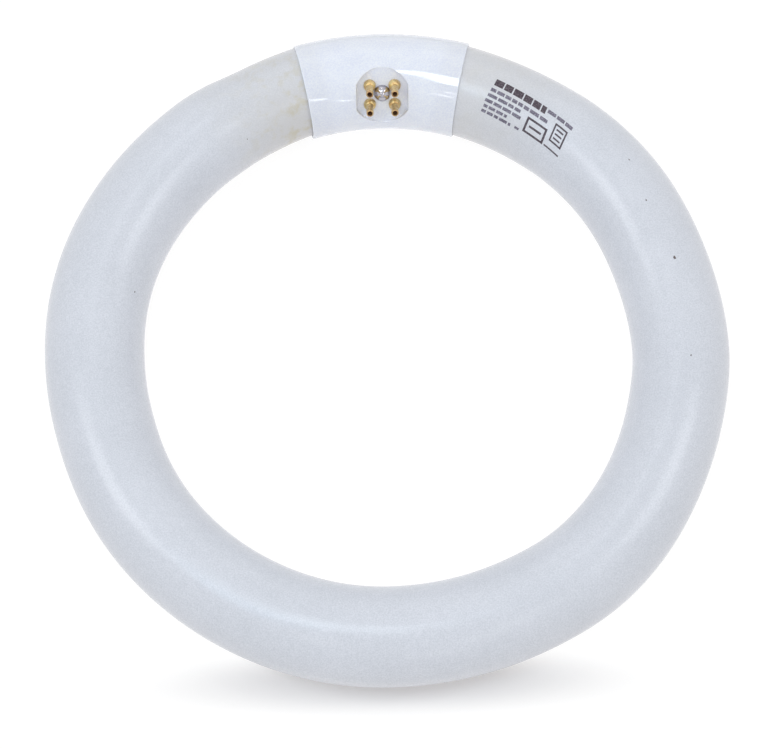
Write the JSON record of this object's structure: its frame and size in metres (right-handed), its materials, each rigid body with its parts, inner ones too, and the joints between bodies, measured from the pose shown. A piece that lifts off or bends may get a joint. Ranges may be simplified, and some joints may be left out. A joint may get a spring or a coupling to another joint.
{
  "type": "circular uv tube",
  "caption": "Ring-shaped coated fluorescent UV lamp whose two ends meet in a white moulded cap with hollow brass contact pins on a slanted, recessed seat.",
  "frame": {"origin": "centre of the ring, on the surface that the ring lies on", "axes": "+Z along the ring's axis, up; +Y from the ring's centre to the middle of the cap; the pins point up and inwards, towards +Z and -Y"},
  "size_m": [0.212, 0.2122, 0.0327],
  "materials": {
    "coated_glass": "satin white coating under glass",
    "cap_plastic": "glossy moulding",
    "pin_brass": "bright",
    "rivet_metal": "polished",
    "lead_metal": "bare wire"
  },
  "bodies": {
    "root": {"glass_tube": "coated_glass", "cap_front_shell": "cap_plastic", "cap_rear_shell": "cap_plastic", "cap_rivet": "rivet_metal", "contact_pin_1": "pin_brass", "contact_pin_2": "pin_brass", "contact_pin_3": "pin_brass", "contact_pin_4": "pin_brass", "lead_wire_1": "lead_metal", "lead_wire_2": "lead_metal", "lead_wire_3": "lead_metal", "lead_wire_4": "lead_metal"}
  },
  "joints": []
}
